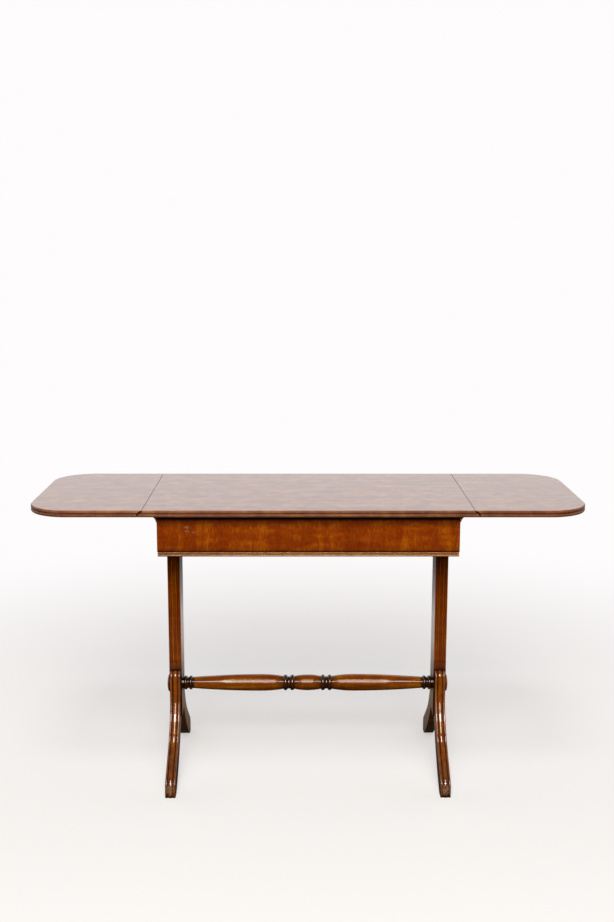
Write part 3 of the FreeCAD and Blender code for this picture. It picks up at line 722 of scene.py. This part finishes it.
# solid mahogany worked with planes and scratch stocks: straight grain, dark wax and painted shade in every
# quirk, and a painted shadow on the uprights under the frieze
STANDARD_MAHOGANY = PolishedWood(
    name="mahogany_solid_upright",
    grain=Grain.UPRIGHT,
    dark="6E2C01",
    middle="984402",
    light="BC660A",
    streak=(260, 12),
    ripple_share=0.15,
    coat=1.0,
    gloss=0.04,
    shine=0.05,
    grime_and_shade_reach=10,
    worn_and_glint="A8661C",
    stains_and_shades=(
        # darker over the plain block above the knee
        StainOrShade(200, 290, 0.45, 8),
        StainOrShade(200, 280, 0.5, 18),
        # painted shadow at the top of the uprights under the frieze, with the film thinned there to dim its
        # reflection
        StainOrShade(574, 676, 0.6, 26, film=0.1),
        # painted shade fading down the uprights from under the frieze, with thinner film
        StainOrShade(490, 760, 0.66, 120, film=0.25),
    ),
)
# the same wood on the legs, darker towards the floor, where feet have knocked the toes pale
LEG_MAHOGANY = PolishedWood(
    name="mahogany_solid_legs",
    grain=Grain.UPRIGHT,
    dark="5C2A02",
    middle="8E4605",
    light="B06610",
    streak=(200, 12),
    ripple_share=0.15,
    coat=1.0,
    gloss=0.04,
    film_ior=1.9,
    shine=0.05,
    grime_and_shade_full=0.78,
    # darker towards the floor
    stains_and_shades=(StainOrShade(-150, 150, 0.4, 110),),
    worn_and_glint="B89A80",
    scuffs=tuple(Scuff((x, y, 20), 14, 16) for y in (-205, 205) for x in (-335, 335)),
)
# solid mahogany turned on a lathe: the same wood with the grain along the bar, darker in the rings, with
# painted shade on the bulbs beside the middle rings
TURNED_MAHOGANY = PolishedWood(
    name="mahogany_solid_turned",
    grain=Grain.LENGTHWAYS,
    dark="562402",
    middle="864303",
    light="B06C0C",
    streak=(260, 12),
    ripple_share=0.15,
    coat=0.38,
    gloss=0.05,
    film_ior=1.85,
    shine=0.05,
    grime_and_shade_reach=5,
    grime_and_shade_full=0.72,
    stains_and_shades=(
        StainOrShade(180, 310, 0.0, 70, film=1.0),
        # painted shade on the bulbs where they meet the middle rings, with more film
        StainOrShade(16, 80, 0.55, 20, film=0.9),
        StainOrShade(33, 63, 0.6, film=0.8),
        StainOrShade(288, 345, 0.88, film=0.8),
    ),
)
# mahogany mouldings, their colour paler than the frieze as a painted highlight along the beads, and rubbed
# pale at their arrises
BEAD_MAHOGANY = PolishedWood(
    name="mahogany_moulding",
    grain=Grain.LENGTHWAYS,
    dark="8E4A08",
    middle="B86E20",
    light="D49444",
    coat=0.55,
    film_ior=1.75,
    grime_and_shade_full=0.78,
    wear_and_glint=0.8,
)
CROSS_BEAD_MAHOGANY = replace(BEAD_MAHOGANY, name="mahogany_moulding_ends", grain=Grain.CROSSWAYS)
# planed beech left unpolished inside: pale tan with short dark flecks
PLANED_BEECH = PolishedWood(
    name="beech_planed",
    grain=Grain.LENGTHWAYS,
    dark="8E6A44",
    middle="A68155",
    light="BC9769",
    fibre=(30, 1.6),
    coat=0.0,
    rough=(0.55, 0.7),
    grime_and_shade="4A3018",
    worn_and_glint="C8A878",
)
# rolled brass gone brown in the air, still yellow where it rubs
AGED_BRASS = WorkedMetal(
    name="brass_aged", bright="C9A25A", tarnish="7A5A2A", rough=(0.3, 0.55), blotch=9
)
# drawn steel with a dull grey-brown skin
DULL_STEEL = WorkedMetal(
    name="steel_dull", bright="B8B4AE", tarnish="6E6258", rough=(0.32, 0.6), blotch=3
)


@dataclass
class Woodwork:
    """The pieces that keep their modelled shapes, and the finish that each one wears."""

    nodes: dict[str, bpy.types.Object]

    def plan(self) -> dict[str, PolishedWood | WorkedMetal]:
        """Say which finish goes on which piece.

        Returns:
            A word of a piece's name to its finish; the first word that fits counts.
        """
        return {
            "flaps": AGED_BRASS,
            "pins": DULL_STEEL,
            "screws": DULL_STEEL,
            "blocks": PLANED_BEECH,
            "bearer": PLANED_BEECH,
            "keepers": PLANED_BEECH,
            "loper": PLANED_BEECH,
            "dowels": PLANED_BEECH,
            "end_rail": END_VENEER,
            "frieze": FRIEZE_VENEER,
            "front_bead": BEAD_MAHOGANY,
            "back_bead": BEAD_MAHOGANY,
            "bead": CROSS_BEAD_MAHOGANY,
            "cove": CROSS_BEAD_MAHOGANY,
            "stretcher": TURNED_MAHOGANY,
            "boss": TURNED_MAHOGANY,
            "upright": STANDARD_MAHOGANY,
            "leg": LEG_MAHOGANY,
            "leaf": TOP_VENEER,
            "fixed_top": TOP_VENEER,
        }

    def dress(self) -> None:
        """Give every modelled piece its finish."""
        finishes = self.plan()
        made = {}
        for name, node in sorted(self.nodes.items()):
            finish = next(finishes[word] for word in finishes if word in name)
            if finish.name not in made:
                made[finish.name] = finish.material()
            node.material_slots[0].material = made[finish.name]
            LOG.info("%s: %s", name, finish.name)


@dataclass(frozen=True)
class ScrewRow:
    """Screws set alike in all four corners: distances from the middle, and height of the heads, in mm."""

    along: float
    across: tuple[float, ...]
    foot: float


@dataclass
class SlottedScrews:
    """Countersunk wood screws with slots, set from below, each batch on one body; sizes in mm."""

    head_radius: float = 3.2
    head_height: float = 1.5
    head_sides: int = 32
    shank_radius: float = 1.5
    shank_sides: int = 20
    slot_width: float = 0.8
    slot_depth: float = 0.7
    # length of the tool that cuts the slot, in radii of the head
    slot_reach: float = 2.4
    underside: float = 704.0
    bite: float = 8.5
    joint_line: float = 385.0
    hinge_inset: float = 165.0
    # screws of a flap: how far out from the joint's line, and on which side of the flap's middle
    leaf_pattern: tuple[tuple[float, int], ...] = ((24, -1), (24, 1), (39, 0))
    top_pattern: tuple[tuple[float, int], ...] = ((-15, -1), (-15, 1))
    spread: float = 12.0
    keepers: ScrewRow = ScrewRow(along=276.0, across=(61.7, 108.3), foot=674.4)
    fixing_blocks: ScrewRow = ScrewRow(along=150.0, across=(176.0,), foot=684.0)
    seed: int = 7

    def tree(self) -> bpy.types.NodeTree:
        """Build the node tree that puts a screw on every point.

        Returns:
            The tree, with its sizes as inputs.
        """
        tree = bpy.data.node_groups.new("slotted_screws", "GeometryNodeTree")
        sockets = tree.interface
        sockets.new_socket("Points", in_out="INPUT", socket_type="NodeSocketGeometry")
        for name in ("Head radius", "Head height", "Shank radius", "Slot width", "Slot depth"):
            sockets.new_socket(name, in_out="INPUT", socket_type="NodeSocketFloat")
        sockets.new_socket("Metal", in_out="INPUT", socket_type="NodeSocketMaterial")
        sockets.new_socket("Screws", in_out="OUTPUT", socket_type="NodeSocketGeometry")
        given = add(tree, "NodeGroupInput").outputs

        cone = add(
            tree,
            "GeometryNodeMeshCone",
            {
                "Vertices": self.head_sides,
                "Radius Top": given["Shank radius"],
                "Radius Bottom": given["Head radius"],
                "Depth": given["Head height"],
            },
        )
        # the cutter's middle lies on the face of the head, so half of it cuts
        radii = {0: given["Head radius"], 1: self.slot_reach}
        reach = add(tree, "ShaderNodeMath", radii, operation="MULTIPLY")
        depth = add(tree, "ShaderNodeMath", {0: given["Slot depth"], 1: 2.0}, operation="MULTIPLY")
        size = add(
            tree,
            "ShaderNodeCombineXYZ",
            {"X": reach.outputs[0], "Y": given["Slot width"], "Z": depth.outputs[0]},
        )
        slot = add(tree, "GeometryNodeMeshCube", {"Size": size.outputs[0]})
        head = add(
            tree,
            "GeometryNodeMeshBoolean",
            {"Mesh 1": cone.outputs["Mesh"], "Mesh 2": slot.outputs["Mesh"]},
            operation="DIFFERENCE",
            solver="EXACT",
        )
        turn = add(
            tree,
            "FunctionNodeRandomValue",
            {0: (0.0, 0.0, 0.0), 1: (0.0, 0.0, math.tau), "Seed": self.seed},
            data_type="FLOAT_VECTOR",
        )
        heads = add(
            tree,
            "GeometryNodeInstanceOnPoints",
            {
                "Points": given["Points"],
                "Instance": head.outputs["Mesh"],
                "Rotation": turn.outputs[0],
            },
        )

        rod = add(
            tree,
            "GeometryNodeMeshCylinder",
            {"Vertices": self.shank_sides, "Radius": given["Shank radius"], "Depth": 1.0},
        )
        raised = add(
            tree,
            "GeometryNodeTransform",
            {"Geometry": rod.outputs["Mesh"], "Translation": (0.0, 0.0, 0.5)},
        )
        length = add(
            tree, "GeometryNodeInputNamedAttribute", {"Name": "shank_length"}, data_type="FLOAT"
        ).outputs["Attribute"]
        stretch = add(tree, "ShaderNodeCombineXYZ", {"X": 1.0, "Y": 1.0, "Z": length})
        lift = add(tree, "ShaderNodeCombineXYZ", {"Z": given["Head height"]})
        start = add(
            tree, "GeometryNodeSetPosition", {"Geometry": given["Points"], "Offset": lift.outputs[0]}
        )
        shanks = add(
            tree,
            "GeometryNodeInstanceOnPoints",
            {
                "Points": start.outputs[0],
                "Instance": raised.outputs[0],
                "Scale": stretch.outputs[0],
            },
        )

        joined = add(tree, "GeometryNodeJoinGeometry", {0: heads.outputs[0]})
        tree.links.new(shanks.outputs[0], joined.inputs[0])
        real = add(tree, "GeometryNodeRealizeInstances", {0: joined.outputs[0]})
        skin = {"Geometry": real.outputs[0], "Material": given["Metal"]}
        clad = add(tree, "GeometryNodeSetMaterial", skin)
        add(tree, "NodeGroupOutput", {0: clad.outputs[0]})
        return tree

    def hinge_spots(self, side: int, leaf: bool) -> list[tuple[Vector, float]]:
        """Place the screws of one end's hinge flaps.

        Args:
            side: 1 for the right end and -1 for the left.
            leaf: whether the flaps are the leaf's.

        Returns:
            The middle of each head's face in mm, with its shank's length.
        """
        pattern = self.leaf_pattern if leaf else self.top_pattern
        length = self.bite - self.head_height
        return [
            (Vector((side * (self.joint_line + out), at + row * self.spread, self.underside)), length)
            for at in (-self.hinge_inset, 0.0, self.hinge_inset)
            for out, row in pattern
        ]

    def frame_spots(self) -> list[tuple[Vector, float]]:
        """Place the screws of the top flaps, the loper keepers and the top's fixing blocks.

        Returns:
            The middle of each head's face in mm, with its shank's length.
        """
        spots = self.hinge_spots(1, leaf=False) + self.hinge_spots(-1, leaf=False)
        for row in (self.keepers, self.fixing_blocks):
            length = self.underside + self.bite - row.foot - self.head_height
            spots += [
                (Vector((end * row.along, face * across, row.foot)), length)
                for end in (-1, 1)
                for face in (-1, 1)
                for across in row.across
            ]
        return spots

    def batch(
        self,
        name: str,
        spots: list[tuple[Vector, float]],
        tree: bpy.types.NodeTree,
        metal: bpy.types.Material,
    ) -> bpy.types.Object:
        """Make one batch of screws as a plain mesh.

        Args:
            name: the batch's name.
            spots: head faces and shank lengths in mm.
            tree: the tree that makes the screws.
            metal: their finish.

        Returns:
            The screws as one object at the origin.
        """
        points = bpy.data.meshes.new(f"{name}_points")
        points.from_pydata([spot * MM for spot, _ in spots], [], [])
        lengths = points.attributes.new("shank_length", "FLOAT", "POINT")
        lengths.data.foreach_set("value", [length * MM for _, length in spots])
        piece = bpy.data.objects.new(name, points)
        bpy.context.scene.collection.objects.link(piece)
        modifier = piece.modifiers.new("screws", "NODES")
        modifier.node_group = tree
        sizes = {
            "Head radius": self.head_radius,
            "Head height": self.head_height,
            "Shank radius": self.shank_radius,
            "Slot width": self.slot_width,
            "Slot depth": self.slot_depth,
        }
        for item in tree.interface.items_tree:
            if item.in_out == "INPUT" and item.name in sizes:
                modifier[item.identifier] = sizes[item.name] * MM
            elif item.in_out == "INPUT" and item.name == "Metal":
                modifier[item.identifier] = metal
        ready = piece.evaluated_get(bpy.context.evaluated_depsgraph_get())
        mesh = bpy.data.meshes.new_from_object(ready)
        mesh.name = name
        piece.modifiers.clear()
        piece.data = mesh
        bpy.data.meshes.remove(points)
        return piece

    def build(self) -> None:
        """Make the batches and seat them on the bodies whose plain screws they stand for."""
        tree = self.tree()
        metal = DULL_STEEL.material()
        batches = [
            (
                "frame_screws",
                self.frame_spots(),
                "table_frame",
                (
                    "left_hinge_top_screws",
                    "right_hinge_top_screws",
                    "left_keeper_screws",
                    "right_keeper_screws",
                    "top_fixing_screws",
                ),
            ),
            (
                "left_leaf_screws",
                self.hinge_spots(-1, leaf=True),
                "left_leaf_body",
                ("left_hinge_leaf_screws",),
            ),
            (
                "right_leaf_screws",
                self.hinge_spots(1, leaf=True),
                "right_leaf_body",
                ("right_hinge_leaf_screws",),
            ),
        ]
        for name, spots, body, stood_for in batches:
            piece = self.batch(name, spots, tree, metal)
            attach(piece, body)
            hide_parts(*stood_for)
            LOG.info("%s: %d screws on %s", name, len(spots), body)


@dataclass(frozen=True)
class SoftBox:
    """A lamp: its place and size in metres, its light, and whether the flat top mirrors it."""

    name: str
    place: tuple[float, float, float]
    size: tuple[float, float]
    watts: float
    colour: str = "FFFFFF"
    mirrored: bool = True


@dataclass
class Studio:
    """Pale floor that fades into a pale room, soft lamps, and the photograph's camera; in metres."""

    tops: list[bpy.types.Object]
    floor_radius: float = 2.6
    floor_sides: int = 96
    fade: Span = Span(0.6, 2.4)
    floor_colour: str = "F2F1F1"
    floor_haze: float = 0.45
    room_colour: str = "FEFCFC"
    low_colour: str = "D8BE9C"
    # how bright the room behind the table is at each height of a direction, as the polish mirrors it
    levels: tuple[tuple[float, float], ...] = (
        (-0.42, 0.04),
        (-0.395, 0.16),
        (-0.35, 0.3),
        (-0.325, 0.62),
        (-0.305, 0.62),
        (-0.285, 0.3),
        (-0.26, 0.15),
        (-0.2, 0.3),
        (-0.1, 0.8),
        (0.0, 1.0),
        (0.5, 1.0),
        (0.8, 0.2),
    )
    # how far back a direction points where the dim front of the room gives way to its pale back
    back_span: Span = Span(-0.3, 0.3)
    front_level: float = 0.03
    # how high it points where the warm light from below gives way to the room
    low_span: Span = Span(-0.4, -0.3)
    boxes: tuple[SoftBox, ...] = (
        SoftBox("front_lamp", (0.0, -5.0, 4.1), (2.4, 5.2), 265.0, "FFF4E2", mirrored=False),
        SoftBox("wide_lamp", (0.0, -5.1, 4.0), (6.0, 1.2), 145.0, mirrored=False),
        SoftBox("top_lamp", (-0.2, -2.4, 6.3), (1.6, 1.0), 75.0),
    )
    aim: tuple[float, float, float] = (0.0, 0.0, 0.5)
    sensor_width: float = 36.0
    focal_pixels: float = 1169.3
    image_height: float = 922.0
    eye: tuple[float, float, float] = (-0.0236, -2.8568, 1.3195)
    yaw: float = 0.423
    pitch: float = 10.394
    roll: float = 0.1

    def floor(self) -> None:
        """Lay a pale round floor that melts into the room, kept out of the polish so that it stays dark."""
        bpy.ops.mesh.primitive_circle_add(
            vertices=self.floor_sides, radius=self.floor_radius, fill_type="NGON"
        )
        floor = bpy.context.object
        floor.name = "floor"
        paint = bpy.data.materials.new("floor_matt_paint")
        paint.use_nodes = True
        tree = paint.node_tree
        tree.nodes.clear()
        place = add(tree, "ShaderNodeTexCoord").outputs["Object"]
        far = add(tree, "ShaderNodeVectorMath", {0: place}, operation="LENGTH").outputs["Value"]
        fade = add(
            tree,
            "ShaderNodeMapRange",
            {
                "Value": far,
                "From Min": self.fade.start,
                "From Max": self.fade.full,
                "To Min": self.floor_haze,
            },
            interpolation_type="SMOOTHSTEP",
        )
        matt = add(tree, "ShaderNodeBsdfDiffuse", {"Color": linear(self.floor_colour)})
        haze = add(tree, "ShaderNodeEmission", {"Color": linear(self.room_colour)})
        melt = {0: fade.outputs[0], 1: matt.outputs[0], 2: haze.outputs[0]}
        faded = add(tree, "ShaderNodeMixShader", melt)
        below = add(tree, "ShaderNodeNewGeometry").outputs["Backfacing"]
        clear = add(tree, "ShaderNodeBsdfTransparent")
        mixed = add(tree, "ShaderNodeMixShader", {0: below, 1: faded.outputs[0], 2: clear.outputs[0]})
        add(tree, "ShaderNodeOutputMaterial", {"Surface": mixed.outputs[0]})
        floor.data.materials.append(paint)
        floor.visible_glossy = False
        floor.visible_diffuse = False

    def room(self) -> None:
        """Light the room: pale behind the table, dim above it and in front, warm and weak from below."""
        world = bpy.data.worlds.new("pale_room")
        bpy.context.scene.world = world
        world.use_nodes = True
        tree = world.node_tree
        tree.nodes.clear()
        way = add(tree, "ShaderNodeTexCoord").outputs["Generated"]
        split = add(tree, "ShaderNodeSeparateXYZ", {0: way}).outputs
        depth = add(
            tree,
            "ShaderNodeMapRange",
            {
                "Value": split["Y"],
                "From Min": self.back_span.start,
                "From Max": self.back_span.full,
                "To Min": self.front_level,
            },
            interpolation_type="SMOOTHSTEP",
        ).outputs[0]
        low, high = self.levels[0][0], self.levels[-1][0]
        limits = {"Value": split["Z"], "From Min": low, "From Max": high}
        height = add(tree, "ShaderNodeMapRange", limits)
        ramp = add(tree, "ShaderNodeValToRGB", {"Fac": height.outputs[0]})
        stops = ramp.color_ramp.elements
        for z, level in self.levels[1:-1]:
            stops.new((z - low) / (high - low)).color = (level, level, level, 1.0)
        for stop, (_, level) in ((stops[0], self.levels[0]), (stops[-1], self.levels[-1])):
            stop.color = (level, level, level, 1.0)
        shade = ramp.outputs[0]
        behind = add(tree, "ShaderNodeMath", {0: shade, 1: depth}, operation="MULTIPLY").outputs[0]
        start, full = self.low_span
        limits = {"Value": split["Z"], "From Min": start, "From Max": full}
        raised = add(tree, "ShaderNodeMapRange", limits).outputs[0]
        power = add(tree, "ShaderNodeMix", {"Factor": raised, "A": shade, "B": behind}).outputs[0]
        seen = add(tree, "ShaderNodeLightPath").outputs["Is Camera Ray"]
        power = add(tree, "ShaderNodeMath", {0: power, 1: seen}, operation="MAXIMUM").outputs[0]
        above = add(tree, "ShaderNodeMath", {0: raised, 1: seen}, operation="MAXIMUM").outputs[0]
        inks = {"Factor": above, "A": linear(self.low_colour), "B": linear(self.room_colour)}
        colour = add(tree, "ShaderNodeMix", inks, data_type="RGBA").outputs["Result"]
        glow = add(tree, "ShaderNodeBackground", {"Color": colour, "Strength": power})
        add(tree, "ShaderNodeOutputWorld", {"Surface": glow.outputs[0]})

    def hang(self, box: SoftBox) -> bpy.types.Object:
        """Hang one soft box, facing the middle of the table.

        Args:
            box: the lamp's place, size and light.

        Returns:
            The lamp.
        """
        light = bpy.data.lights.new(box.name, "AREA")
        light.shape = "RECTANGLE"
        light.size, light.size_y = box.size
        light.energy = box.watts
        light.color = linear(box.colour)[:3]
        lamp = bpy.data.objects.new(box.name, light)
        lamp.location = box.place
        lamp.rotation_mode = "QUATERNION"
        lamp.rotation_quaternion = (Vector(self.aim) - Vector(box.place)).to_track_quat("-Z", "Y")
        lamp.visible_camera = False
        bpy.context.scene.collection.objects.link(lamp)
        return lamp

    def flag(self, lamp: bpy.types.Object) -> None:
        """Keep a lamp's mirror image off the flat top, which would hide the wood from behind.

        Args:
            lamp: the lamp, whose twin gives the top its plain light.
        """
        twin = lamp.copy()
        twin.name = f"{lamp.name}_on_top"
        twin.visible_glossy = False
        bpy.context.scene.collection.objects.link(twin)
        for light, state in ((lamp, "EXCLUDE"), (twin, "INCLUDE")):
            lit = bpy.data.collections.new(f"{light.name}_lit")
            for top in self.tops:
                lit.objects.link(top)
            for member in lit.collection_objects:
                member.light_linking.link_state = state
            light.light_linking.receiver_collection = lit

    def lamps(self) -> None:
        """Hang the soft boxes, and keep those off the top that it must not mirror."""
        hung = [self.hang(box) for box in self.boxes]
        for box, lamp in zip(self.boxes, hung):
            if not box.mirrored:
                self.flag(lamp)

    def camera(self) -> None:
        """Stand the camera where the photograph was taken from."""
        turn, dip = math.radians(self.yaw), math.radians(self.pitch)
        ahead = Vector(
            (math.sin(turn) * math.cos(dip), math.cos(turn) * math.cos(dip), -math.sin(dip))
        )
        right = Vector((math.cos(turn), -math.sin(turn), 0.0))
        axes = Matrix((right, right.cross(ahead), -ahead)).transposed()
        lens = bpy.data.cameras.new("photo_camera")
        lens.sensor_width = self.sensor_width
        lens.lens = self.focal_pixels * lens.sensor_width / self.image_height
        camera = bpy.data.objects.new("photo_camera", lens)
        tilt = Matrix.Rotation(math.radians(self.roll), 4, "Z")
        camera.matrix_world = Matrix.Translation(self.eye) @ axes.to_4x4() @ tilt
        bpy.context.scene.collection.objects.link(camera)
        bpy.context.scene.camera = camera

    def build(self) -> None:
        """Set up the whole studio."""
        self.floor()
        self.room()
        self.lamps()
        self.camera()
        bpy.context.scene.view_settings.view_transform = "Standard"
        LOG.info("studio ready")


def main() -> None:
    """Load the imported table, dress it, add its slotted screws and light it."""
    logging.basicConfig(level=logging.INFO, format="%(message)s")
    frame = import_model()
    Woodwork(frame["nodes"]).dress()
    SlottedScrews().build()
    Studio([frame["nodes"][name] for name in TOP_PIECES]).build()


if __name__ == "__main__":
    main()
